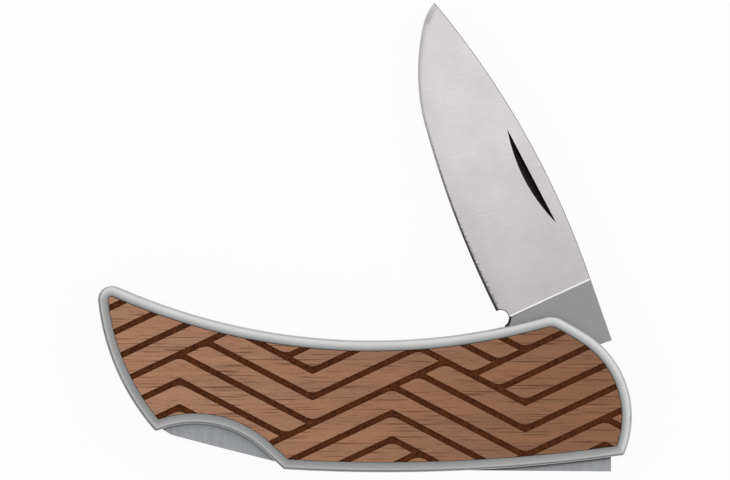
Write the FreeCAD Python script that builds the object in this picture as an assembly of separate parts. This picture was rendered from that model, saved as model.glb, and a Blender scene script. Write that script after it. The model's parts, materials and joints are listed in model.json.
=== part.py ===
import FreeCAD, Part
import math
import os

from FreeCAD import Vector

# Folding pocket knife in millimetres, lying on its side with the blade half open.
# +X runs to the front of the handle, +Y away from its back, +Z up through its thickness.
# The origin is the blade's pivot axis, on the plane that the knife lies on.

# Handle
frame_length = 79.4
frame_height = 27.8
pivot_to_front = 9.7
pivot_to_back = 11.0
frame_thickness = 3.25
rim_width = 1.5
rim_round = 0.5
horn_radius = 2.0
shoulder_radius = 3.5
corner_radius = 0.5
inlay_thickness = 1.5
adhesive_thickness = 0.1
inlay_clearance = 0.05

# Handle outline, as shares of its length from the butt and of its height from the back
horn_share = (-0.0016, 1.0417)
top_share = (0.4370, 0.7125)
shoulder_share = (0.8507, 0.8445)
cheek_share = (0.8850, 0.7933)
cheek_end_share = (0.9167, 0.7375)
toe_share = (0.9830, 0.0965)
back_share = (0.6259, 0.0085)
notch_front_share = (0.3479, 0.0210)
notch_ramp_share = (0.3086, 0.1241)
notch_rear_share = (0.1082, 0.2223)
butt_share = (0.0290, 0.5914)

# Engraved chevrons: upright distance between neighbouring lines, the slopes, the groove itself,
# and one lattice crossing as shares of the handle's length and height
groove_pitch = 3.915
groove_width = 0.88
groove_depth = 0.35
rising_angle = 25.2
falling_angle = 27.6
crossing_share = (0.7986, 0.3755)

# Strokes of one repeat in lattice counts from that crossing: the line that a stroke lies on,
# and the lines of the other slope where it starts and ends
rising_strokes = [
    (-4, 4, 0), (-3, 7, 0), (-2, 7, 3), (-2, 0, -4),
    (-1, 8, 4), (-1, 0, -4), (0, 7, 4), (0, 0, -4),
]
falling_strokes = [
    (-2, -4, -2), (-1, -4, -2), (0, -4, 0), (1, -3, 1),
    (2, -3, 2), (3, -2, 2), (4, -1, 1),
]
repeat_step = (5, -3)
repeats = (-2, -1, 0, 1)

# Blade
blade_thickness = 2.4
grind_step = 0.2
edge_thickness = 0.4
bevel_width = 0.4
bevel_edge = 0.06
butt_depth = 7.84
choil_radius = 1.25
plunge_run = 0.5
nick_length = 15.9
nick_width = 1.4
nick_depth = 0.5
kick_angle = 154.0
open_turn = 104.0

# Blade outline when open, as shares of the pivot-to-tip reach and of the pivot-to-back distance
tang_back_share = (0.2648, -0.6973)
spine_share = (0.6466, -0.3110)
tip_share = (1.0, 0.4455)
belly_end_share = (0.9590, 0.6500)
belly_share = (0.8612, 0.8680)
belly_start_share = (0.7242, 0.9690)
edge_share = (0.4850, 0.8725)
heel_share = (0.2506, 0.6500)
ricasso_share = (0.2037, 0.5782)
choil_share = (0.2257, 0.6091)
plunge_share = (0.2252, 0.4645)
nick_share = (0.5459, -0.2571)
nick_angle = 13.4

# Pivot
pivot_pin_radius = 1.6
pivot_head_radius = 2.5
bush_wall = 0.9
washer_radius = 3.9
washer_thickness = 0.15
running_clearance = 0.03
fixed_clearance = 0.02

# Lock bar: shares of the handle's length from the butt, and of the bar's depth from the back
bar_side_clearance = 0.13
bar_depth = 6.0
bar_pin_radius = 1.2
bar_head_radius = 1.6
lift_angle = 4.4
tooth_width = 3.3
tooth_tip_drop = 4.2
tang_back_angle = 5.0
lock_clearance = 0.12
cam_clearance = 0.12
neck_clearance = 0.35
neck_angle = 140.0
bar_pin_share = (0.6121, 0.60)
bar_nose_share = (0.9623, 0.0840)
hub_front_share = (0.727, 1.0)
hub_rear_share = (0.538, 1.0)
arm_inner_share = (0.332, 1.0)
arm_end_inner_share = (0.107, 1.58)
arm_end_outer_share = (0.110, 1.16)
release_rear_share = (0.138, 0.938)
release_middle_share = (0.258, 0.525)
release_front_share = (0.333, 0.277)
bar_back_share = (0.576, 0.083)
bar_front_share = (0.722, 0.057)

# Leaf spring, and the butt spacer with its pins at shares of its height
spring_thickness = 0.8
spring_side_clearance = 0.28
spring_root = 1.6
spring_gap = 0.04
spacer_clearance = 1.0
foot_length = 1.2
foot_floor = 0.5
foot_roof = 0.7
tip_clearance = 0.8
butt_pin_radius = 0.9
butt_head_radius = 1.25
lower_butt_pin_share = 0.38
upper_butt_pin_share = 0.68

head_depth = 0.6
overrun = 1.0

# Worked out from the sizes above
channel = blade_thickness + 2 * (washer_thickness + running_clearance)
overall_thickness = 2 * frame_thickness + channel
middle = overall_thickness / 2
bar_thickness = channel - 2 * bar_side_clearance
spring_width = channel - 2 * spring_side_clearance
front_inner_face = middle + channel / 2
pocket_depth = inlay_thickness + adhesive_thickness
pocket_floor = overall_thickness - pocket_depth
blade_reach = frame_length - pivot_to_front - butt_depth
bush_radius = pivot_pin_radius + running_clearance + bush_wall
up = Vector(0, 0, 1)
pivot = Vector(0, 0, 0)


def frame_point(share):
    along, high = share
    return Vector(pivot_to_front - frame_length * (1 - along), frame_height * high - pivot_to_back, 0)


def blade_point(share):
    along, across = share
    return Vector(blade_reach * along, pivot_to_back * across, 0)


def bar_point(share):
    along, deep = share
    return Vector(pivot_to_front - frame_length * (1 - along), bar_depth * deep - pivot_to_back, 0)


def polar(radius, degrees):
    angle = math.radians(degrees)
    return Vector(radius * math.cos(angle), radius * math.sin(angle), 0)


def lifted(point):
    """A point of the locked lock bar, carried to where the bar rides on the tang."""
    return bar_pin + FreeCAD.Rotation(up, -lift_angle).multVec(point - bar_pin)


# Lock geometry with the blade open and the bar's tooth home in the tang's notch
bar_pin = bar_point(bar_pin_share)
bar_nose = frame_point(bar_nose_share)
lock_wall = polar(1, 90 + tang_back_angle)
tooth_front = bar_nose + lock_wall * ((-tooth_tip_drop - bar_nose.y) / lock_wall.y)
tooth_rear = tooth_front - Vector(tooth_width, 0, 0)
cam_radius = lifted(tooth_rear).Length - cam_clearance
neck_radius = cam_radius + neck_clearance
tang_corner = bar_nose + Vector(lock_clearance, lock_clearance, 0)
tip_radius = blade_point(tip_share).Length

# Leaf spring's root in the foot of the spacer, above the bar's rear arm and behind the tip's path
spacer_bottom = bar_point(arm_end_inner_share).y + spacer_clearance
spacer_radius = tip_radius + tip_clearance
root_height = spacer_bottom + foot_floor + spring_thickness / 2
foot_front = foot_length - math.sqrt(spacer_radius ** 2 - root_height ** 2)


def line(start, end):
    return Part.LineSegment(start, end).toShape()


def arc(start, through, end):
    return Part.Arc(start, through, end).toShape()


def arc_on_from(edge, end):
    """An arc that leaves the end of an edge along its tangent."""
    start = edge.valueAt(edge.LastParameter)
    ahead = edge.tangentAt(edge.LastParameter)
    side = Vector(-ahead.y, ahead.x, 0)
    chord = end - start
    radius = chord.dot(chord) / (2 * chord.dot(side))
    centre = start + side * radius
    outwards = (start + end) / 2 - centre
    return arc(start, centre + outwards * (abs(radius) / outwards.Length), end)


def plate(edges, bottom, thickness):
    face = Part.Face(Part.Wire(edges))
    face.translate(Vector(0, 0, bottom))
    return face.extrude(Vector(0, 0, thickness))


def rod(centre, radius, bottom, length):
    return Part.makeCylinder(radius, length, Vector(centre.x, centre.y, bottom))


def behind(shape):
    return shape.mirror(Vector(0, 0, middle), up)


def drawn_in(edges, radii, inset):
    """A clockwise outline's arcs and lines moved inwards; where two met with a corner, they do so again."""
    tracks = []
    curves = []
    for edge in edges:
        first = edge.FirstParameter
        last = edge.LastParameter
        places = (first, (first + last) / 2, last)
        start, through, end = [edge.valueAt(at) + edge.tangentAt(at).cross(up) * inset for at in places]
        straight = edge.Curve.TypeId == "Part::GeomLine"
        tracks.append((start, through, end))
        curves.append(Part.Line(start, end) if straight else Part.Circle(start, through, end))
    corners = []
    for i, radius in enumerate(radii):
        corner = tracks[i][-1]
        if radius:
            meetings = curves[i].intersectCC(curves[(i + 1) % len(edges)])
            points = [Vector(point.X, point.Y, point.Z) for point in meetings]
            corner = min(points, key=corner.distanceToPoint)
        corners.append(corner)
    moved = []
    for i, (_, through, _) in enumerate(tracks):
        start = corners[i - 1]
        end = corners[i]
        straight = isinstance(curves[i], Part.Line)
        moved.append(line(start, end) if straight else arc(start, through, end))
    return moved


def rounded_outline(edges, radii):
    """A closed outline; each edge's end is rounded by the radius beside it, or left as it is."""
    edges = list(edges)
    corner_points = [edge.valueAt(edge.LastParameter) for edge in edges]
    fillets = []
    for i, radius in enumerate(radii):
        if radius:
            after = (i + 1) % len(edges)
            corner = Part.ChFi2d.FilletAlgo(edges[i], edges[after], Part.Plane())
            corner.perform(radius)
            fillet, edges[i], edges[after] = corner.result(corner_points[i])
            fillets.append(fillet)
    return Part.sortEdges(edges + fillets)[0]


def frame_outline(inset):
    """The handle's outline, drawn in by an inset; a radius of 0 is a place where two edges run on."""
    horn = frame_point(horn_share)
    shoulder = frame_point(shoulder_share)
    toe = frame_point(toe_share)
    notch_front = frame_point(notch_front_share)
    notch_rear = frame_point(notch_rear_share)
    top = arc(horn, frame_point(top_share), shoulder)
    cheek = arc(shoulder, frame_point(cheek_share), frame_point(cheek_end_share))
    front = arc_on_from(cheek, toe)
    back = arc(toe, frame_point(back_share), notch_front)
    ramp = line(notch_front, frame_point(notch_ramp_share))
    notch = arc_on_from(ramp, notch_rear)
    butt = arc(notch_rear, frame_point(butt_share), horn)
    edges = [top, cheek, front, back, ramp, notch, butt]
    radii = [shoulder_radius, 0, corner_radius, corner_radius, 0, corner_radius, horn_radius]
    inner_radii = [max(radius - inset, 0) for radius in radii]
    return rounded_outline(drawn_in(edges, radii, inset), inner_radii)


def frame_plate(inset, bottom, thickness):
    return plate(frame_outline(inset), bottom, thickness)


def butt_pin_place(share):
    """Midway between the pocket's wall and the tip's path, at a share of the spacer's height."""
    y = spacer_bottom + (frame_point(horn_share).y - spacer_bottom) * share
    floor = frame_plate(rim_width, 0, channel).cut(rod(pivot, spacer_radius, 0, channel))
    level = line(Vector(-2 * frame_length, y, channel / 2), Vector(0, y, channel / 2))
    return Vector(floor.common(level).BoundBox.Center.x, y, 0)


rivets = {
    "pivot_pin": (pivot, pivot_pin_radius, pivot_head_radius),
    "lock_bar_pin": (bar_pin, bar_pin_radius, bar_head_radius),
    "upper_butt_pin": (butt_pin_place(upper_butt_pin_share), butt_pin_radius, butt_head_radius),
    "lower_butt_pin": (butt_pin_place(lower_butt_pin_share), butt_pin_radius, butt_head_radius),
}


def rivet(centre, radius, head_radius):
    """A pin whose two ends are spread into countersinks in the floors of the pockets."""
    shank = rod(centre, radius, overall_thickness - pocket_floor, 2 * pocket_floor - overall_thickness)
    head_base = Vector(centre.x, centre.y, pocket_floor - head_depth)
    head = Part.makeCone(radius, head_radius, head_depth, head_base)
    return shank.fuse([head, behind(head)]).removeSplitter()


def side_frame():
    blank = frame_plate(0, front_inner_face, frame_thickness)
    rim = max(blank.Faces, key=lambda face: face.CenterOfMass.z).Edges
    pocket = frame_plate(rim_width, pocket_floor, pocket_depth + overrun)
    holes = [rivet(at, r + fixed_clearance, head + fixed_clearance) for at, r, head in rivets.values()]
    return blank.makeFillet(rim_round, rim).cut([pocket] + holes)


def groove(start, end):
    """One engraved stroke with round ends, cut down from the inlay's face."""
    ahead = (end - start).normalize() * (groove_width / 2)
    side = Vector(-ahead.y, ahead.x, 0)
    edges = [
        line(start + side, end + side),
        arc(end + side, end + ahead, end - side),
        line(end - side, start - side),
        arc(start - side, start - ahead, start + side),
    ]
    return plate(edges, overall_thickness - groove_depth, groove_depth + overrun)


def chevron_grooves():
    rise = math.tan(math.radians(rising_angle))
    fall = math.tan(math.radians(falling_angle))
    step = groove_pitch / (rise + fall)
    down_right = Vector(step, -step * fall, 0)
    down_left = Vector(-step, -step * rise, 0)
    crossing = frame_point(crossing_share)
    strokes = []
    for copy in repeats:
        origin = crossing + (down_right * repeat_step[0] + down_left * repeat_step[1]) * copy
        for on, first, last in rising_strokes:
            base = origin + down_right * on
            strokes.append(groove(base + down_left * first, base + down_left * last))
        for on, first, last in falling_strokes:
            base = origin + down_left * on
            strokes.append(groove(base + down_right * first, base + down_right * last))
    return strokes


def wood_inlay():
    inset = rim_width + inlay_clearance
    return frame_plate(inset, pocket_floor + adhesive_thickness, inlay_thickness).cut(chevron_grooves())


def inlay_adhesive():
    return frame_plate(rim_width + inlay_clearance, pocket_floor, adhesive_thickness)


def grind_height(x, y):
    """Half the ground blade's thickness: a plain wedge from the spine to the line of the edge."""
    heel = blade_point(heel_share)
    edge_run = blade_point(belly_start_share) - heel
    spine_run = blade_point(tang_back_share) - heel
    run = Vector(x, y, 0) - heel
    inwards = edge_run.cross(run).z / edge_run.cross(spine_run).z
    edge_half = edge_thickness / 2
    return edge_half + (blade_thickness / 2 - grind_step - edge_half) * inwards


def grind_cut():
    """What grinding takes off the blade's upper side, ahead of the plunge line."""
    plunge_top = blade_point(tang_back_share)
    plunge_low = blade_point(plunge_share)
    lean = (plunge_low.x - plunge_top.x) / (plunge_low.y - plunge_top.y)
    far = blade_reach + overrun
    top = blade_thickness / 2 + overrun
    low = []
    high = []
    for y in (-pivot_to_back, pivot_to_back + overrun):
        x = plunge_top.x + lean * (y - plunge_top.y)
        low.append([Vector(x, y, grind_height(x, y)), Vector(far, y, grind_height(far, y))])
        high.append([Vector(x - plunge_run, y, top), Vector(far, y, top)])
    loops = [Part.makePolygon([a, b, d, c, a]) for (a, b), (c, d) in (low, high)]
    return Part.makeLoft(loops, True, True)


def bevel_cut(edge_arc, start_x, end_x):
    """The sharpening bevel of one stretch of the edge, a cone about the centre of its arc."""
    centre = edge_arc.Curve.Center
    radius = edge_arc.Curve.Radius
    slope = (edge_thickness - bevel_edge) / 2 / bevel_width
    top = blade_thickness / 2 + overrun
    inner = radius - (top - bevel_edge / 2) / slope
    profile = Part.makePolygon([
        centre + Vector(radius + overrun, 0, bevel_edge / 2 - slope * overrun),
        centre + Vector(radius + overrun, 0, top),
        centre + Vector(inner, 0, top),
        centre + Vector(radius + overrun, 0, bevel_edge / 2 - slope * overrun),
    ])
    ring = Part.Face(profile).revolve(centre, up, 360)
    reach = Part.makeBox(end_x - start_x, 2 * pivot_to_back, 2 * top, Vector(start_x, 0, -top))
    return ring.common(reach)


def nail_nick():
    """A slanting wheel's cut: straight and deep along the spine side, shallow towards the edge."""
    middle_of_chord = blade_point(nick_share)
    height = grind_height(middle_of_chord.x, middle_of_chord.y)
    face = Vector(middle_of_chord.x, middle_of_chord.y, height)
    tilt = math.asin(2 * nick_depth / nick_width) / 2
    dip = nick_width * math.sin(tilt)
    wheel_radius = (nick_length ** 2 / 4 + dip ** 2) / (2 * dip)
    to_edge = polar(1, nick_angle + 90)
    axis = to_edge * math.cos(tilt) + up * math.sin(tilt)
    inwards = to_edge * math.sin(tilt) - up * math.cos(tilt)
    centre = face - inwards * (wheel_radius - dip)
    return Part.makeCylinder(wheel_radius, 2 * nick_width, centre, axis)


def tang_notch_edges(kick):
    """The tang from the kick round its cam and the lock notch to its back corner."""
    floor = -(tooth_tip_drop - lock_clearance)
    rear_x = tooth_rear.x - lock_clearance
    cam_end = Vector(rear_x, -math.sqrt(cam_radius ** 2 - rear_x ** 2), 0)
    floor_rear = Vector(rear_x, floor, 0)
    floor_front = tang_corner + lock_wall * ((floor - tang_corner.y) / lock_wall.y)
    return [
        arc(kick, polar(cam_radius, (kick_angle + 270) / 2), cam_end),
        line(cam_end, floor_rear),
        line(floor_rear, floor_front),
        line(floor_front, tang_corner),
    ]


def blade():
    """Drawn open, then swung to its half-open place."""
    tang_back = blade_point(tang_back_share)
    tip = blade_point(tip_share)
    belly_end = blade_point(belly_end_share)
    belly_start = blade_point(belly_start_share)
    heel = blade_point(heel_share)
    ricasso = blade_point(ricasso_share)
    choil = blade_point(choil_share)
    kick = polar(cam_radius, kick_angle)
    edge = arc(heel, blade_point(edge_share), belly_start)
    belly = arc(belly_start, blade_point(belly_share), belly_end)
    nose = arc_on_from(belly, tip)
    outline = [
        line(tang_corner, tang_back),
        arc(tang_back, blade_point(spine_share), tip),
        nose,
        belly,
        edge,
        line(heel, ricasso),
        line(ricasso, kick),
    ]
    half = blade_thickness / 2
    blank = plate(outline + tang_notch_edges(kick), -half, blade_thickness)
    cuts = [
        grind_cut(),
        bevel_cut(edge, choil.x, belly_start.x),
        bevel_cut(belly, belly_start.x, belly_end.x),
        bevel_cut(nose, belly_end.x, blade_reach + overrun),
    ]
    cuts += [cut.mirror(pivot, up) for cut in cuts]
    round_cuts = [
        nail_nick(),
        rod(choil, choil_radius, -half - overrun, blade_thickness + 2 * overrun),
        rod(pivot, bush_radius + fixed_clearance, -half - overrun, blade_thickness + 2 * overrun),
    ]
    return in_place(blank.cut(cuts).cut(round_cuts))


def in_place(shape):
    """Swing a piece of the open blade to rest, at mid thickness."""
    result = shape.copy()
    result.translate(Vector(0, 0, middle))
    result.rotate(pivot, up, open_turn)
    return result


def pivot_bush():
    half = blade_thickness / 2
    hole = rod(pivot, pivot_pin_radius + running_clearance, -half - overrun, blade_thickness + 2 * overrun)
    return in_place(rod(pivot, bush_radius, -half, blade_thickness).cut(hole))


def pivot_washer():
    bottom = front_inner_face - washer_thickness
    hole_radius = pivot_pin_radius + running_clearance
    hole = rod(pivot, hole_radius, bottom - overrun, washer_thickness + 2 * overrun)
    return rod(pivot, washer_radius, bottom, washer_thickness).cut(hole)


def lock_bar():
    """Nose, tooth and neck are drawn locked and lifted; the hub and the release arm as they rest."""
    neck_front = Vector(tooth_rear.x, -math.sqrt(neck_radius ** 2 - tooth_rear.x ** 2), 0)
    nose = lifted(bar_nose)
    neck_end = lifted(polar(neck_radius, -neck_angle))
    hub_front = bar_point(hub_front_share)
    hub_rear = bar_point(hub_rear_share)
    arm_inner = bar_point(arm_inner_share)
    end_inner = bar_point(arm_end_inner_share)
    end_outer = bar_point(arm_end_outer_share)
    release_rear = bar_point(release_rear_share)
    release_front = bar_point(release_front_share)
    back = bar_point(bar_back_share)
    front = bar_point(bar_front_share)
    edges = [
        line(nose, lifted(tooth_front)),
        line(lifted(tooth_front), lifted(tooth_rear)),
        line(lifted(tooth_rear), lifted(neck_front)),
        arc(lifted(neck_front), lifted(polar(neck_radius, -90)), neck_end),
        line(neck_end, hub_front),
        line(hub_front, hub_rear),
        line(hub_rear, arm_inner),
        line(arm_inner, end_inner),
        line(end_inner, end_outer),
        line(end_outer, release_rear),
        arc(release_rear, bar_point(release_middle_share), release_front),
        line(release_front, back),
        line(back, front),
        line(front, nose),
    ]
    bottom = middle - bar_thickness / 2
    hole = rod(bar_pin, bar_pin_radius + running_clearance, bottom - overrun, bar_thickness + 2 * overrun)
    return plate(edges, bottom, bar_thickness).cut(hole)


def lock_spring():
    """A leaf that leaves the spacer's foot level and bends down onto the bar's rear arm."""
    half = spring_thickness / 2
    base = Vector(foot_front, root_height, 0)
    run = bar_point(arm_inner_share) + Vector(spring_thickness, spring_gap + half, 0) - base
    radius = (run.x ** 2 + run.y ** 2) / (-2 * run.y)
    turn = 2 * math.degrees(math.atan2(-run.y, run.x))
    centre = base - Vector(0, radius, 0)

    def on_leaf(side, share):
        return centre + polar(radius + side, 90 - turn * share)

    root = Vector(-spring_root, 0, 0)
    edges = [
        line(on_leaf(half, 0) + root, on_leaf(half, 0)),
        arc(on_leaf(half, 0), on_leaf(half, 1 / 2), on_leaf(half, 1)),
        line(on_leaf(half, 1), on_leaf(-half, 1)),
        arc(on_leaf(-half, 1), on_leaf(-half, 1 / 2), on_leaf(-half, 0)),
        line(on_leaf(-half, 0), on_leaf(-half, 0) + root),
        line(on_leaf(-half, 0) + root, on_leaf(half, 0) + root),
    ]
    return plate(edges, middle - spring_width / 2, spring_width)


def butt_spacer():
    """Fills the butt between the frames, clear of the tip's path, with a slotted foot for the spring."""
    bottom = middle - channel / 2
    base = bottom - overrun
    tall = channel + 2 * overrun
    foot_height = foot_floor + spring_thickness + foot_roof
    slot_height = spring_thickness + 2 * fixed_clearance
    foot_corner = Vector(foot_front - frame_length, spacer_bottom, base)
    foot = Part.makeBox(frame_length, foot_height, tall, foot_corner)
    slot_corner = Vector(foot_front - spring_root, root_height - slot_height / 2, base)
    below = Vector(-frame_length, spacer_bottom - frame_height, base)
    cuts = [
        rod(pivot, spacer_radius, base, tall).cut(foot),
        Part.makeBox(2 * frame_length, frame_height, tall, below),
        Part.makeBox(spring_root + overrun, slot_height, tall, slot_corner),
    ]
    for name in ("upper_butt_pin", "lower_butt_pin"):
        at, radius, _ = rivets[name]
        cuts.append(rod(at, radius + fixed_clearance, base, tall))
    return frame_plate(0, bottom, channel).cut(cuts)


def save(name, shape):
    shape.exportStep("parts/" + name + ".step")


def main():
    os.makedirs("parts", exist_ok=True)
    for name, piece in {
        "side_frame": side_frame(),
        "wood_inlay": wood_inlay(),
        "inlay_adhesive": inlay_adhesive(),
        "pivot_washer": pivot_washer(),
    }.items():
        save("front_" + name, piece)
        save("rear_" + name, behind(piece))
    for name, sizes in rivets.items():
        save(name, rivet(*sizes))
    save("blade", blade())
    save("pivot_bush", pivot_bush())
    save("lock_bar", lock_bar())
    save("lock_spring", lock_spring())
    save("butt_spacer", butt_spacer())


main()
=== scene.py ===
# %% [markdown]
# # A folding pocket knife, dressed
# The knife's solids already have their sizes, their pivot and their lock. This lesson gives them
# finishes: ground steel, a polished rim and engraved wood. Everything stays in the frame of the solids,
# in metres, with the knife lying on its side and +Z up through its thickness.

# %% Load the solids
import json
import math
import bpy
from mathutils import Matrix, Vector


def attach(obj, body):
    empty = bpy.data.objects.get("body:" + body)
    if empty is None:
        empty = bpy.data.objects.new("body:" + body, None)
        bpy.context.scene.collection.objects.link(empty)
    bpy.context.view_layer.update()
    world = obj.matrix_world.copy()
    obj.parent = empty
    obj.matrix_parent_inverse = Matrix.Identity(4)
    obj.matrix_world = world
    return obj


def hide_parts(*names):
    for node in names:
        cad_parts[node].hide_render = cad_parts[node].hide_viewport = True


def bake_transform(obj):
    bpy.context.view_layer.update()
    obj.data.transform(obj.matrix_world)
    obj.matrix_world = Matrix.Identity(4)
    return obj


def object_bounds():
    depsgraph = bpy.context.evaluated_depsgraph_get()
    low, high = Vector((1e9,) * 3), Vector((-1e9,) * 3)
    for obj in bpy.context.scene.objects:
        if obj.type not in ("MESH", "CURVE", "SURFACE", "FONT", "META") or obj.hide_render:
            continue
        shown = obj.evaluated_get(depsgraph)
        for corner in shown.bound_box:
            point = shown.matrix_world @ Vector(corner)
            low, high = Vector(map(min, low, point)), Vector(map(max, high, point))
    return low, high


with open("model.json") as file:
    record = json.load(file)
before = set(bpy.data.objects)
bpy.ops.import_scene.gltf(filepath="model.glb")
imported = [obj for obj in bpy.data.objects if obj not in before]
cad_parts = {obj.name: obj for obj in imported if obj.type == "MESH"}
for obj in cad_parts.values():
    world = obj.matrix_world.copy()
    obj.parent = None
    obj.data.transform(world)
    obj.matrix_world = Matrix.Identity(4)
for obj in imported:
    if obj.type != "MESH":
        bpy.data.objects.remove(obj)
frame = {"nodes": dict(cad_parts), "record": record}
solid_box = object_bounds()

from types import SimpleNamespace

import bmesh
import bpy
from mathutils import Vector
from mathutils.geometry import intersect_point_line

MM = 0.001
nodes = frame["nodes"]
record = frame["record"]
bodies = record["behaviour"]["bodies"]
body_of_node = {node: body for body, members in bodies.items() for node in members}
slot_of_node = {part["node"]: part["material_slot"] for part in record["subparts"]}
middle = (solid_box[0].z + solid_box[1].z) / 2
print("solids:", len(nodes), "bodies:", sorted(bodies))
print(f"the middle of the thickness lies {middle / MM:.2f} mm up")

# %% [markdown]
# ## The camera
# The photograph looks straight down on the knife from far away, so there is almost no perspective. An
# orthographic camera would do, but a long lens is closer to what took the picture. Its picture is as
# wide as the photograph: the handle's closed length, over the pixels between its two ends, gives the
# scale, and the pivot's pixel gives the place.

# %% Camera
picture_width_px = 730
picture_height_px = 480
handle_px = 534.0
handle_mm = 79.4
pivot_px = (567.0, 398.6)
lens_mm = 500
sensor_mm = 36
farthest_view = 10

metres_per_px = handle_mm * MM / handle_px
view_centre = Vector((
    (picture_width_px / 2 - pivot_px[0]) * metres_per_px,
    (pivot_px[1] - picture_height_px / 2) * metres_per_px,
    middle,
))
camera_distance = picture_width_px * metres_per_px * lens_mm / sensor_mm
camera_data = bpy.data.cameras.new("camera")
camera_data.lens = lens_mm
camera_data.sensor_width = sensor_mm
camera_data.clip_end = farthest_view
camera = bpy.data.objects.new("camera", camera_data)
camera.location = view_centre + Vector((0, 0, camera_distance))
bpy.context.collection.objects.link(camera)
scene = bpy.context.scene
scene.camera = camera
scene.view_settings.view_transform = "Standard"
print(f"one pixel is {metres_per_px / MM:.4f} mm, the camera stands {camera_distance:.2f} m above")

# %% [markdown]
# ## Shader maths that reads as maths
# A finish is a formula: a colour here, a little darker there, rougher across the grain. In the node
# editor that takes a dozen boxes and wires. A small class that wraps a socket lets the formula be
# written as one: adding or multiplying two fields adds the Math node, and one method makes every other
# kind of node.


# %% One class for sockets
class Field:
    """A socket in a node tree; arithmetic on it adds Math nodes."""

    def __init__(self, tree, socket=None):
        self.tree = tree
        self.socket = socket

    def node(self, kind, settings=None, inputs=None, output=0):
        """Adds a node with its settings and the values or links of its sockets, and gives one output."""
        made = self.tree.nodes.new(kind)
        for name, value in (settings or {}).items():
            setattr(made, name, value)
        for key, value in (inputs or {}).items():
            if isinstance(value, Field):
                self.tree.links.new(value.socket, made.inputs[key])
            else:
                made.inputs[key].default_value = value
        return Field(self.tree, made.outputs[output] if made.outputs else None)

    def math(self, operation, first, second):
        return self.node("ShaderNodeMath", {"operation": operation}, {0: first, 1: second})

    def __add__(self, other):
        return self.math("ADD", self, other)

    def __radd__(self, other):
        return self.math("ADD", other, self)

    def __sub__(self, other):
        return self.math("SUBTRACT", self, other)

    def __rsub__(self, other):
        return self.math("SUBTRACT", other, self)

    def __mul__(self, other):
        return self.math("MULTIPLY", self, other)

    def __rmul__(self, other):
        return self.math("MULTIPLY", other, self)

    def __abs__(self):
        return self.math("ABSOLUTE", self, 0)


# %% [markdown]
# ## Masks
# Most of a finish is one thing laid over another where a mask is 1. A mask could be painted by hand,
# but here it starts from a number that is known at every place, such as a height or a distance, and a
# smooth ramp brings that number between 0 and 1.


# %% Masks from places
def new_paint(name):
    """An empty finish, and a field to start its formulas from."""
    material = bpy.data.materials.new(name)
    material.use_nodes = True
    material.node_tree.nodes.clear()
    return material, Field(material.node_tree)


def axes(place):
    """The three parts of a place."""
    return [place.node("ShaderNodeSeparateXYZ", None, {0: place}, axis) for axis in "XYZ"]


def weighted(parts, weights):
    """Parts of a place added up, each by its own weight."""
    total = parts[0] * weights[0]
    for part, weight in zip(parts[1:], weights[1:]):
        total = total + part * weight
    return total


def ramp(field, low, high):
    """0 below low, 1 above high, and a smooth rise between them."""
    settings = {"interpolation_type": "SMOOTHSTEP"}
    return field.node("ShaderNodeMapRange", settings, {0: field, 1: low, 2: high})


def rise(mask, low, high):
    """A number that is low where the mask is 0 and high where it is 1."""
    return low + (high - low) * mask


# %% [markdown]
# ## Paper under the knife
# The knife lies on white paper. More light would turn the paper white, but it would wash out the knife
# too, so the paper glows by itself where the camera sees it, a little less than fully, which keeps the
# shadow. Polished steel looks like steel only when something around it is darker. In reflections the
# paper is therefore dim on the near left and bright on the far right.

# %% Floor
floor_drop_mm = 0.02
floor_size = 2.0

floor_shape = bmesh.new()
bmesh.ops.create_grid(floor_shape, x_segments=1, y_segments=1, size=floor_size)
bmesh.ops.translate(floor_shape, verts=floor_shape.verts, vec=(0, 0, -floor_drop_mm * MM))
floor_mesh = bpy.data.meshes.new("floor")
floor_shape.to_mesh(floor_mesh)
floor_shape.free()
floor = bpy.data.objects.new("floor", floor_mesh)
bpy.context.collection.objects.link(floor)
print(f"the floor lies {floor_drop_mm} mm under the knife")

# %% White paper
matt_white = (0.9, 0.9, 0.9, 1)
full_white = (1, 1, 1, 1)
paper_to_camera = 0.93
paper_in_steel = (0.12, 0.9)
paper_weights = (2.0, 3.5)
paper_dusk = (-0.11, -0.04)


def seen_rays(paint):
    """1 for rays of the camera, and 1 for rays of reflections and of glass."""
    camera_ray = paint.node("ShaderNodeLightPath", None, None, "Is Camera Ray")
    glossy_ray = paint.node("ShaderNodeLightPath", None, None, "Is Glossy Ray")
    glass_ray = paint.node("ShaderNodeLightPath", None, None, "Is Transmission Ray")
    return camera_ray, paint.math("MAXIMUM", glossy_ray, glass_ray)


paper, paint = new_paint("white_paper")
diffuse = paint.node("ShaderNodeBsdfDiffuse", None, {"Color": matt_white})
white = paint.node("ShaderNodeEmission", None, {"Color": full_white, "Strength": 1.0})
to_camera, in_steel = seen_rays(paint)
right, far, _ = axes(paint.node("ShaderNodeTexCoord", None, None, "Object"))
lit = ramp(weighted((right, far), paper_weights), *paper_dusk)
share = to_camera * paper_to_camera + in_steel * rise(lit, *paper_in_steel)
mixed = paint.node("ShaderNodeMixShader", None, {0: share, 1: diffuse, 2: white})
paint.node("ShaderNodeOutputMaterial", None, {"Surface": mixed})
floor.data.materials.append(paper)
print("the paper's glow in reflections, near left and far right:", paper_in_steel)

# %% [markdown]
# ## A tent of soft light
# Light comes from all around, as in a photographer's tent. Many lamps could do that, but the world's
# own light is smoother. To the camera the tent is plain white, and to matt surfaces it is even. In
# reflections it falls off towards the horizon, and like the paper it is brighter on the far right than
# on the near left. One large softbox gives the light a direction, and the knife a soft shadow.

# %% Tent
tent_level = 0.8
tent_floor = 0.42
fall_weights = (0.4, 0.8, 0.8)
fall_span = (-0.4, 0.8)
side_levels = (0.85, 1.2)
side_weights = (0.75, 0.75)
side_span = (-0.5, 0.5)
low_level = 0.7
low_span = (0.3, 0.85)

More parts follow.
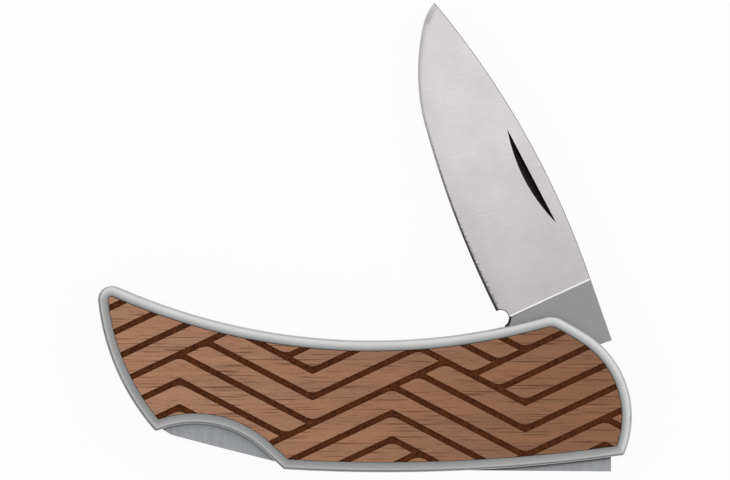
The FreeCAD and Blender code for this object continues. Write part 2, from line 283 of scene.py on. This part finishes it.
world = bpy.data.worlds.new("tent")
world.use_nodes = True
world.node_tree.nodes.clear()
scene.world = world
tent = Field(world.node_tree)
to_camera, in_steel = seen_rays(tent)
right, far, high = axes(tent.node("ShaderNodeTexCoord", None, None, "Generated"))
glow = rise(ramp(weighted((right, far, high), fall_weights), *fall_span), tent_floor, 1)
glow = glow * rise(ramp(weighted((right, far), side_weights), *side_span), *side_levels)
glow = glow * rise(ramp(high, *low_span), low_level, 1)
plain = (1 - to_camera) * (1 - in_steel) * tent_level
strength = to_camera + in_steel * glow + plain
sky = tent.node("ShaderNodeBackground", None, {"Color": full_white, "Strength": strength})
tent.node("ShaderNodeOutputWorld", None, {"Surface": sky})
print(f"the tent takes {len(world.node_tree.nodes)} nodes")

# %% Softbox
softbox_offset = Vector((0.25, 0.5, 1.0))
softbox_size = 1.8
softbox_power = 2.6

softbox_data = bpy.data.lights.new("key_softbox", "AREA")
softbox_data.size = softbox_size
softbox_data.energy = softbox_power
softbox = bpy.data.objects.new("key_softbox", softbox_data)
softbox.location = view_centre + softbox_offset
softbox.rotation_mode = "QUATERNION"
softbox.rotation_quaternion = softbox_offset.to_track_quat("Z", "Y")
bpy.context.collection.objects.link(softbox)
print(f"the softbox hangs {softbox_offset.length:.2f} m from the knife")

# %% [markdown]
# ## Rounded corners
# A cut edge on a real knife is never perfectly sharp: tumbling and polishing break it by about a tenth
# of a millimetre, and that thin round is what catches the light. A Bevel modifier can't do this on the
# loose triangles of a solid. So each piece that shows gets a copy that stands for it, and the bevel
# operator works on the copy's merged mesh, on just the edges that are picked.


# %% Round off edges
def round_off(shape, edges, width_mm, segments, clamp=True):
    """Turns edges into rounds of the given width."""
    bmesh.ops.bevel(
        shape, geom=edges, offset=width_mm * MM, offset_type="OFFSET", affect="EDGES",
        segments=segments, profile=0.5, material=-1, clamp_overlap=clamp,
    )


# %% [markdown]
# ## Bends of the engraving
# The engraver's beam can't turn in no space at all, so on the wood the blunt corners of the grooves are
# rounded over a wider stretch. They could be picked by their places, but their shape is enough to know
# them: upright edges that stick out, and that turn by about the angle between the two slopes of the
# pattern.

# %% Find the bends
bend_degrees = (51, 55)
upright_share = 0.99


def blunt_bends(shape):
    """Upright outer corners that turn by about the angle between two slopes of the engraving."""
    low, high = bend_degrees
    found = []
    for edge in shape.edges:
        run = edge.verts[1].co - edge.verts[0].co
        upright = abs(run.z) > upright_share * run.length
        if upright and edge.is_convex and low < math.degrees(edge.calc_face_angle()) < high:
            found.append(edge)
    return found


# %% [markdown]
# ## The crown of the rim
# A buffing wheel takes more off the outside of a rim than off the edge by the wood. A wider bevel would
# leave a line where it begins, so the flat rim of the frames is cut into strips instead, and each point
# on it is lowered by the square of its distance from the wood's pocket. Each point there also keeps, in
# an attribute, how close to the wood it lies; the finish of the frames needs that later.

# %% Crown the rim
merge_mm = 0.0005
corner_degrees = 40
rim_cuts = 5
rim_flat_mm = 1.0
rim_round_mm = 0.5


def nearest_on(start, end, point):
    """The place on a straight edge that is closest to a point."""
    place, share = intersect_point_line(point, start, end)
    return start if share < 0 else end if share > 1 else place


def crown_rim(shape, fall_mm):
    """Lets the flat rim fall away from the pocket's edge, and gives the points that aren't on it."""
    top = max(abs(v.co.z - middle) for v in shape.verts)
    high_points = {v for v in shape.verts if top - abs(v.co.z - middle) < merge_mm * MM}
    flat = [face for face in shape.faces if high_points.issuperset(face.verts)]
    rim_edges = dict.fromkeys(edge for face in flat for edge in face.edges)
    pocket = [[v.co.copy() for v in edge.verts] for edge in rim_edges
              if edge.calc_face_angle() > math.radians(corner_degrees)]
    rim_faces = set(flat)
    across = [edge for edge in rim_edges if rim_faces.issuperset(edge.link_faces)]
    bmesh.ops.subdivide_edges(shape, edges=across, cuts=rim_cuts)
    by_wood = shape.verts.layers.float.new("by_wood")
    plain = []
    for vert in shape.verts:
        lift = abs(vert.co.z - middle) - top + rim_round_mm * MM
        if lift > 0:
            away = min((vert.co - nearest_on(a, b, vert.co)).length for a, b in pocket)
            share = min(away / (rim_flat_mm * MM), 1)
            fall = fall_mm * MM * share ** 2 * lift / (rim_round_mm * MM)
            vert.co.z -= math.copysign(fall, vert.co.z - middle)
            vert[by_wood] = 1 - share
        else:
            plain.append(vert)
    return plain


# %% [markdown]
# ## Copies of the pieces that show
# A copy's triangles are merged, its flat faces made whole, and its outer corners rounded with two
# segments. The cutting edge itself stays as sharp as it is. On the blade, points that lie closer than
# that edge is wide are knitted together, which closes a hair-fine step between two stretches of the
# bevel. The wood is rounded twice, first at the bends. In between it is written out and read in again,
# because two rounds in a row list the same faces in another order each run.

# %% Make an eased copy
flat_degrees = 0.3
smooth_degrees = 35
corner_segments = 2
bend_segments = 4


def eased_copy(node, width_mm, chosen=None, bend_mm=0, crown_mm=0, knit_mm=merge_mm):
    """Stands for a solid: the same shape with its outer corners, or the chosen ones, rounded."""
    shape = bmesh.new()
    shape.from_mesh(nodes[node].data)
    bmesh.ops.remove_doubles(shape, verts=shape.verts, dist=knit_mm * MM)
    plain = crown_rim(shape, crown_mm) if crown_mm else list(shape.verts)
    plain_points = set(plain)
    plain_edges = [edge for edge in shape.edges if plain_points.issuperset(edge.verts)]
    bmesh.ops.dissolve_limit(
        shape, angle_limit=math.radians(flat_degrees), verts=plain, edges=plain_edges
    )
    mesh = bpy.data.meshes.new(node + "_eased")
    if bend_mm:
        round_off(shape, blunt_bends(shape), bend_mm, bend_segments, clamp=False)
        shape.to_mesh(mesh)
        shape.clear()
        shape.from_mesh(mesh)
    corners = []
    for edge in shape.edges:
        if edge.is_convex and edge.calc_face_angle() > math.radians(corner_degrees):
            if chosen is None or chosen(edge):
                corners.append(edge)
    round_off(shape, corners, width_mm, corner_segments)
    shape.to_mesh(mesh)
    print(f"{node}: {len(corners)} corner edges eased, {len(shape.faces)} faces")
    shape.free()
    mesh.shade_smooth()
    mesh.set_sharp_from_angle(angle=math.radians(smooth_degrees))
    piece = bpy.data.objects.new(node + "_eased", mesh)
    bpy.context.collection.objects.link(piece)
    even = piece.modifiers.new("even_normals", "WEIGHTED_NORMAL")
    even.keep_sharp = True
    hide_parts(node)
    return piece


# %% Ease the pieces that show
sharp_zone_mm = 0.5
frame_ease = {"width_mm": 0.05, "crown_mm": 0.11}
wood_ease = {"width_mm": 0.04, "bend_mm": 0.9}


def off_the_edge(edge):
    """True for edges away from the blade's middle plane, where its cutting edge lies."""
    return min(abs(v.co.z - middle) for v in edge.verts) > sharp_zone_mm * MM


ease_of_node = {
    "front_side_frame": frame_ease,
    "rear_side_frame": frame_ease,
    "front_wood_inlay": wood_ease,
    "rear_wood_inlay": wood_ease,
    "blade": {"width_mm": 0.07, "chosen": off_the_edge, "knit_mm": 0.055},
    "lock_bar": {"width_mm": 0.2},
    "butt_spacer": {"width_mm": 0.1},
}
eased = {name: eased_copy(name, **ease) for name, ease in ease_of_node.items()}
for name, piece in eased.items():
    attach(piece, body_of_node[name])

# %% [markdown]
# ## The leaf spring
# The spring's root sits in the handle and its tip rests on the lock bar, so pressing the bar bends it.
# A piece that rode on either of them would cut through the other. Its copy stays where it lies, on
# neither of them, and doesn't bend.

spring = eased_copy("lock_spring", width_mm=0.05)
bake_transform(spring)
eased["lock_spring"] = spring

# %% [markdown]
# ## Where things are on the blade
# The blade's finish changes from place to place. It could be painted on an unwrapped blade, but the
# places are known from the solid's own corner points, so formulas do it without a picture. The points
# are given in the axes of the open blade, and the shader turns its coordinates back by the angle that
# the blade stands at. Spine and edge are arcs, each given by three points.

# %% Measures of the blade
blade_turn = 104.0
heel_mm = Vector((15.50, 7.15))
belly_mm = Vector((44.80, 10.66))
tang_back_mm = Vector((16.38, -7.67))
plunge_low_mm = Vector((13.93, 5.11))
spine_mm = Vector((40.00, -3.42))
edge_mm = Vector((30.00, 9.60))
tip_mm = Vector((61.86, 4.90))
choil_mm = Vector((13.96, 6.70))
choil_radius_mm = 1.25
edge_half_mm = 0.2
spine_half_mm = 1.0


def circle_through(a, b, c):
    """Centre and radius of the circle through three points."""
    ab, ac = b - a, c - a
    ab_square, ac_square = ab.dot(ab), ac.dot(ac)
    turn = 2 * ab.cross(ac)
    off = Vector((ac.y * ab_square - ab.y * ac_square, ab.x * ac_square - ac.x * ab_square)) / turn
    return a + off, off.length


spine_centre, spine_radius = circle_through(tang_back_mm, spine_mm, tip_mm)
edge_centre, edge_radius = circle_through(heel_mm, edge_mm, belly_mm)
edge_run = belly_mm - heel_mm
wedge_rise = (spine_half_mm - edge_half_mm) / edge_run.cross(tang_back_mm - heel_mm)
plunge_lean = (plunge_low_mm.x - tang_back_mm.x) / (plunge_low_mm.y - tang_back_mm.y)
print(f"spine radius {spine_radius:.1f} mm, edge radius {edge_radius:.1f} mm")
print(f"the plunge line leans {plunge_lean:.2f}")

# %% [markdown]
# ## Masks on the blade
# The ground steel lies ahead of the line where the wheel stopped. Whatever lies deeper than the plain
# wedge of the blade's two sides was cut later: near the spine that is the nail nick, and near the edge
# the sharpened bevel. The other masks are thin bands at a known distance from a line or an arc; they
# place painted light and shade: a highlight along the plunge line, and shade along the spine's edge and
# on the choil's wall.

# %% Blade masks
plunge_soft_mm = 0.04
edge_side_mm = (1.9, 2.1)
nick_under_spine_mm = (0.4, 0.5)
nick_depth_mm = (0.003, 0.015)
bevel_depth_mm = (0.01, 0.03)
bevel_fade_mm = (34, 57)
plunge_highlight_mm = (-0.1, 0.16)
plunge_highlight_soft_mm = 0.08
choil_shade_mm = (0.06, 0.16)
choil_shade_on_tang_mm = 0.22
spine_shade_mm = (0.06, 0.16)


def from_centre(along, across, centre):
    """How far a place is from a centre, seen along the thickness."""
    place = along.node("ShaderNodeCombineXYZ", None, {0: along, 1: across})
    values = {0: place, 1: (centre[0], centre[1], 0)}
    return along.node("ShaderNodeVectorMath", {"operation": "DISTANCE"}, values, "Value")


def between(field, low, high, soft):
    """1 between two values, with soft ends."""
    return ramp(field, low - soft, low + soft) * (1 - ramp(field, high - soft, high + soft))


def blade_masks(place):
    """Where the blade is ground, hollow or sharpened, and where highlight or shade is painted."""
    along, across, up = axes(place)
    ahead = along - tang_back_mm.x - (across - tang_back_mm.y) * plunge_lean
    wedge = (across - heel_mm.y) * edge_run.x - (along - heel_mm.x) * edge_run.y
    depth = edge_half_mm + wedge * wedge_rise - abs(up - middle / MM)
    under_spine = spine_radius - from_centre(along, across, spine_centre)
    over_edge = edge_radius - from_centre(along, across, edge_centre)
    from_choil = from_centre(along, across, choil_mm) - choil_radius_mm
    ground = ramp(ahead, -plunge_soft_mm, plunge_soft_mm)
    edge_side = ramp(across, *edge_side_mm)
    spine_side = ground * ramp(under_spine, *nick_under_spine_mm) * (1 - edge_side)
    nick = spine_side * ramp(depth, *nick_depth_mm)
    # painted shade on the choil's wall, reaching further on the tang side
    choil_wall_shade = 1 - ramp(from_choil - (1 - ground) * choil_shade_on_tang_mm, *choil_shade_mm)
    return SimpleNamespace(
        along=along,
        over_edge=over_edge,
        ground=ground,
        edge_side=ground * edge_side,
        # the dark nail nick, and the painted shade on the choil's wall
        nick_and_choil_shade=along.math("MAXIMUM", nick, choil_wall_shade),
        bevel=ground * edge_side * ramp(depth, *bevel_depth_mm) * (1 - ramp(along, *bevel_fade_mm)),
        # painted highlight: the bright line where the plunge grind catches the light
        plunge_highlight=between(ahead, *plunge_highlight_mm, plunge_highlight_soft_mm),
        # painted shade along the spine's edge
        spine_edge_shade=(1 - ramp(under_spine, *spine_shade_mm)) * ground,
    )


# %% [markdown]
# ## Colours, and grain in millimetres
# Colours are written as they are read off a screen, and made linear for the shader. A pattern has to
# stay on its piece from every side and in every pose. A picture of it would need an unwrapped surface;
# noise in the piece's own coordinates needs none. Grinding marks, brushing and wood grain are all noise
# that is stretched along one axis, and only the number of cycles per millimetre differs.


# %% Colours
def srgb(red, green, blue):
    """A colour as it is read off a screen, made linear."""
    def linear(level):
        level /= 255
        return level / 12.92 if level <= 0.04045 else ((level + 0.055) / 1.055) ** 2.4
    return (linear(red), linear(green), linear(blue), 1)


def blend_colours(factor, first, second):
    """The first colour where the factor is 0, and the second where it is 1."""
    settings = {"data_type": "RGBA", "clamp_factor": True}
    return factor.node("ShaderNodeMix", settings, {0: factor, 6: first, 7: second}, 2)


def shaded(colour, brightness):
    """A colour multiplied by a grey field."""
    grey = brightness.node("ShaderNodeCombineColor", None, dict.fromkeys(range(3), brightness))
    settings = {"data_type": "RGBA", "blend_type": "MULTIPLY"}
    return brightness.node("ShaderNodeMix", settings, {0: 1.0, 6: colour, 7: grey}, 2)


print(f"middle grey on a screen is {srgb(128, 128, 128)[0]:.3f} in linear light")


# %% Grain
def millimetres(paint, turn=0.0):
    """The piece's own coordinates in millimetres, turned about the thickness."""
    place = paint.node("ShaderNodeTexCoord", None, None, "Object")
    turned = (0, 0, math.radians(turn))
    values = {"Vector": place, "Rotation": turned, "Scale": (1 / MM, 1 / MM, 1 / MM)}
    return paint.node("ShaderNodeMapping", None, values)


def grain(place, per_mm, detail=2.0, roughness=0.5):
    """Noise with its own number of cycles per millimetre along each axis, from 0 to 1."""
    stretched = place.node("ShaderNodeMapping", None, {"Vector": place, "Scale": per_mm})
    values = {"Vector": stretched, "Scale": 1.0, "Detail": detail, "Roughness": roughness}
    return place.node("ShaderNodeTexNoise", None, values)


def sway(noise, amount):
    """Noise that swings about 0, by half the amount either way."""
    return (noise - 0.5) * amount


# %% [markdown]
# ## The end of a finish
# Every finish ends the same way: its values go into the main shader, and a height field goes into a
# bump. The marks could be cut into the mesh, but they are at most hundredths of a millimetre deep, and a
# bump breaks up the light just as well.


# %% End a finish
def close(material, paint, values, relief, relief_mm):
    """Ends a finish: the main shader with its values, and a bump from the relief."""
    bump = {"Height": relief, "Distance": relief_mm * MM, "Strength": 1.0}
    values["Normal"] = paint.node("ShaderNodeBump", None, bump)
    shader = paint.node("ShaderNodeBsdfPrincipled", None, values)
    paint.node("ShaderNodeOutputMaterial", None, {"Surface": shader})
    print(f"{material.name}: {len(paint.tree.nodes)} nodes")
    return material


# %% [markdown]
# ## Ground steel of the blade
# The blade is flat ground on a wheel that runs across it, so its marks are fine lines from spine to
# edge, with some deeper scratches and some that gleam. An anisotropic shader would smear the light in
# the same way, but it shows no single lines. The ground grey is painted lighter towards the tip, as
# painted light. Where the wheel stopped, a painted highlight, the bright line where the plunge catches
# the light, separates the ground steel from the dull flat of the tang. The sharpened bevel has coarse
# marks and a ragged border and is darker towards the heel. Painted shade darkens the spine's edge and
# the choil's wall, and the nail nick is dark inside.

# %% Blade finish
tang_grey = srgb(146, 146, 146)
ground_greys_to_lit_tip = (srgb(185, 181, 182), srgb(205, 201, 203))
ground_light_span_mm = (12, 46)
honed_greys = (srgb(76, 74, 74), srgb(216, 213, 214))
honed_span_mm = (24, 56)
scratch_noise = (0.62, 0.74)
gleam_noise = (0.66, 0.76)
dim_by_edge_mm = (0.6, 3.2)
ragged_border_mm = (0.45, 0.75)
ragged_narrows_mm = (14, 40)
ragged_fade_mm = (28, 52)
highlight_white = srgb(238, 238, 238)
ragged_grey = srgb(118, 116, 116)
spine_shade_grey = srgb(120, 118, 118)
nick_and_shade_black = srgb(38, 34, 36)


def blade_finish():
    """Ground, honed and plain steel, each in its place."""
    material, paint = new_paint("ground_blade_steel")
    place = millimetres(paint, -blade_turn)
    on = blade_masks(place)
    lines = grain(place, (3.0, 0.2, 0.2), 3.0)
    hairs = grain(place, (9.0, 0.6, 0.6), 2.0)
    cloud = grain(place, (0.16, 0.2, 0.2), 3.0)
    teeth = grain(place, (4.2, 0.45, 0.45), 1.0)
    speckle = grain(place, (6.0, 6.0, 6.0), 3.0)
    scratches = ramp(grain(place, (4.5, 0.42, 0.42), 1.0), *scratch_noise)
    gleams = ramp(grain(place, (5.3, 0.36, 0.5), 1.0), *gleam_noise)

    brightness = 1.0 + sway(lines, 0.08) + sway(hairs, 0.09) + sway(cloud, 0.24)
    brightness = brightness - scratches * 0.07 + gleams * 0.1
    brightness = brightness - (1 - ramp(on.over_edge, *dim_by_edge_mm)) * 0.05
    tang = shaded(tang_grey, rise(speckle, 0.92, 1.08))
    # painted light: the ground grey rises towards the tip
    ground = shaded(blend_colours(ramp(on.along, *ground_light_span_mm), *ground_greys_to_lit_tip), brightness)
    honed = blend_colours(ramp(on.along, *honed_span_mm), *honed_greys)
    border = on.over_edge + sway(teeth, 1.5) + ramp(on.along, *ragged_narrows_mm) * 0.4
    ragged = (1 - ramp(border, *ragged_border_mm)) * on.edge_side
    ragged = ragged * (1 - ramp(on.along, *ragged_fade_mm)) * 0.7

    colour = blend_colours(on.ground, tang, ground)
    # painted highlight along the plunge line
    colour = blend_colours(on.plunge_highlight, colour, highlight_white)
    colour = blend_colours(ragged, colour, ragged_grey)
    colour = blend_colours(on.bevel, colour, shaded(honed, rise(teeth, 0.75, 1.25)))
    # painted shade along the spine's edge
    colour = blend_colours(on.spine_edge_shade, colour, spine_shade_grey)
    # the dark nail nick, and painted shade on the choil's wall
    colour = blend_colours(on.nick_and_choil_shade, colour, nick_and_shade_black)
    values = {
        "Base Color": colour,
        "Metallic": 1.0,
        "Roughness": 0.34 + sway(hairs, 0.12) + (1 - on.ground) * 0.14,
    }
    return close(material, paint, values, lines * 0.5 + hairs * on.ground, relief_mm=0.002)


blade_steel = blade_finish()

# %% [markdown]
# ## Steel of the frames and the hidden pieces
# The frames are polished along their rims, with a faint grain along the handle. By the wood the rim is
# darker. A mask from the outline could show that, but the crowned rim already says how close to the
# wood each point lies, and that attribute blends in a darker grey. The spring, the pins, the bronze
# bearings and the adhesive get the same kind of finish in their own colours.

# %% Plain finishes
even_per_mm = (2.0, 2.0, 2.0)
cloud_per_mm = (0.15, 0.15, 0.15)


def plain_finish(
    name, colour, roughness, contrast, per_mm=even_per_mm, darker_by_wood=None, relief_mm=0.001, metallic=1.0
):
    """One colour under faint marks; the darker one shows where a piece says that it lies by the wood."""
    material, paint = new_paint(name)
    place = millimetres(paint)
    if darker_by_wood:
        by_wood = paint.node("ShaderNodeAttribute", {"attribute_name": "by_wood"}, None, "Fac")
        colour = blend_colours(by_wood, colour, darker_by_wood)
    marks = grain(place, per_mm, 3.0)
    cloud = grain(place, cloud_per_mm)
    values = {
        "Base Color": shaded(colour, 1.0 + sway(marks, contrast) + sway(cloud, contrast)),
        "Metallic": metallic,
        "Roughness": roughness + sway(marks, 0.15),
    }
    return close(material, paint, values, marks, relief_mm)


frame_steel = plain_finish(
    "polished_frame_steel", srgb(184, 185, 185), roughness=0.28, contrast=0.14,
    per_mm=(0.25, 5.0, 5.0), darker_by_wood=srgb(112, 112, 112), relief_mm=0.0004,
)
spring_steel = plain_finish(
    "tempered_spring_steel", srgb(120, 122, 126), roughness=0.35, contrast=0.15, per_mm=(0.3, 3.0, 3.0)
)
pin_steel = plain_finish("turned_pin_steel", srgb(180, 180, 180), roughness=0.3, contrast=0.1)
bronze = plain_finish("bearing_bronze", srgb(186, 140, 80), roughness=0.35, contrast=0.15)
adhesive = plain_finish("cured_adhesive", srgb(170, 160, 140), roughness=0.5, contrast=0.15, metallic=0.0)

# %% [markdown]
# ## The lock bar
# The bar is sheared from plate and only tumbled, so its face is mottled. Where it disappears between
# the frames, shade is painted into its colour in the corner, most of all at the front. That painted
# shade could be drawn along the frames' outline, but the Ambient Occlusion node finds the corner by
# itself: it measures how much of the sky above a place is shut off by other pieces close by.

# %% Lock bar finish
bar_grey = srgb(151, 152, 155)
shade_reach_mm = 0.8
shade_samples = 8
painted_shade_level = 0.25
shade_sky_span = (0.5, 0.8)
front_mm = (-20, -8)
front_painted_shade = 0.85
front_shade_sky_span = (0.55, 0.95)


def lock_finish():
    """Tumbled steel with painted shade in its corners."""
    material, paint = new_paint("tumbled_lock_steel")
    place = millimetres(paint)
    along, _, _ = axes(place)
    mottle = grain(place, (1.4, 2.2, 1.4), 4.0, 0.6)
    speckle = grain(place, (6.0, 6.0, 6.0), 2.0)
    smears = grain(place, (2.6, 0.3, 0.3), 2.0)
    settings = {"samples": shade_samples}
    reach = {"Distance": shade_reach_mm * MM}
    open_sky = paint.node("ShaderNodeAmbientOcclusion", settings, reach, "AO")
    brightness = 1.0 + sway(mottle, 0.4) + sway(speckle, 0.3) + sway(smears, 0.35)
    # painted shade: darker where other pieces shut off the sky, and more so at the front
    lit_share = rise(ramp(open_sky, *shade_sky_span), painted_shade_level, 1)
    lit_share = lit_share * (1 - ramp(along, *front_mm) * front_painted_shade * (1 - ramp(open_sky, *front_shade_sky_span)))
    values = {
        "Base Color": shaded(shaded(bar_grey, brightness), lit_share),
        "Metallic": 1.0,
        "Roughness": 0.42 + sway(mottle, 0.2),
    }
    return close(material, paint, values, mottle + speckle * 0.4, relief_mm=0.004)


lock_steel = lock_finish()

# %% [markdown]
# ## Engraved wood
# The inlays are a pale brown hardwood whose grain runs along the handle: slow streaks of a warmer and a
# cooler brown, and fine dark pores. A picture of wood would be the usual way; stretched noise gives
# that grain on both inlays without one. The grooves were burnt in, so whatever lies below the face is
# dark, mottled by the beam's passes.

# %% Wood finish
burnt_from_mm = (0.02, 0.10)
butt_to_front_mm = (-70, 8)
long_pore_noise = (0.60, 0.67)
short_pore_noise = (0.59, 0.67)
warm_noise = (0.35, 0.65)
cool_browns = (srgb(162, 121, 95), srgb(133, 94, 69))
warm_browns = (srgb(174, 124, 91), srgb(144, 97, 67))
pore_brown = srgb(92, 58, 40)
char_brown = srgb(86, 42, 11)


def wood_finish():
    """Pored hardwood on the face, and char below it."""
    material, paint = new_paint("engraved_hardwood")
    place = millimetres(paint)
    along, _, up = axes(place)
    depth = (solid_box[1].z - middle) / MM - abs(up - middle / MM)
    burnt = ramp(depth, *burnt_from_mm)
    streaks = grain(place, (0.03, 0.7, 0.7), 4.0)
    fibres = grain(place, (0.6, 6.0, 6.0), 3.0)
    fleck = grain(place, (3.0, 5.0, 5.0), 2.0)
    passes = grain(place, (3.0, 1.9, 1.5), 3.0, 0.7)
    long_pores = ramp(grain(place, (0.11, 4.2, 4.2), 1.0), *long_pore_noise)
    short_pores = ramp(grain(place, (0.45, 5.5, 5.5), 2.0), *short_pore_noise)
    warmth = ramp(grain(place, (0.05, 0.35, 0.35), 2.0), *warm_noise) * 0.5

    to_front = ramp(along, *butt_to_front_mm)
    cool = blend_colours(to_front, *cool_browns)
    warm = blend_colours(to_front, *warm_browns)
    brightness = 1.06 + sway(streaks, 0.6) + sway(fibres, 0.3) + sway(fleck, 0.22)
    brightness = brightness - short_pores * 0.26
    face = shaded(blend_colours(warmth, cool, warm), brightness)
    wood = blend_colours(long_pores * 0.75, face, pore_brown)
    char = shaded(char_brown, passes * 3.2 - 0.6)
    values = {
        "Base Color": blend_colours(burnt, wood, char),
        "Roughness": 0.55 + burnt * 0.3 + long_pores * 0.1,
        "Specular IOR Level": 0.2,
    }
    relief = fibres - long_pores * 0.6 + passes * burnt
    return close(material, paint, values, relief, relief_mm=0.02)


hardwood = wood_finish()

# %% [markdown]
# ## Putting the finishes on
# Each solid names the slot of its finish in the record, so a loop can put them on. The finish goes on
# the solid itself and, where there is one, on the copy that stands for it.

# %% Put the finishes on
finishes = {
    "blade_steel": blade_steel,
    "frame_steel": frame_steel,
    "lock_steel": lock_steel,
    "spring_steel": spring_steel,
    "pin_steel": pin_steel,
    "engraved_wood": hardwood,
    "bronze": bronze,
    "clear_adhesive": adhesive,
}
for name, node in nodes.items():
    for piece in filter(None, (node, eased.get(name))):
        piece.data.materials.clear()
        piece.data.materials.append(finishes[slot_of_node[name]])
print(f"{len(nodes)} solids and {len(eased)} copies have their finishes")
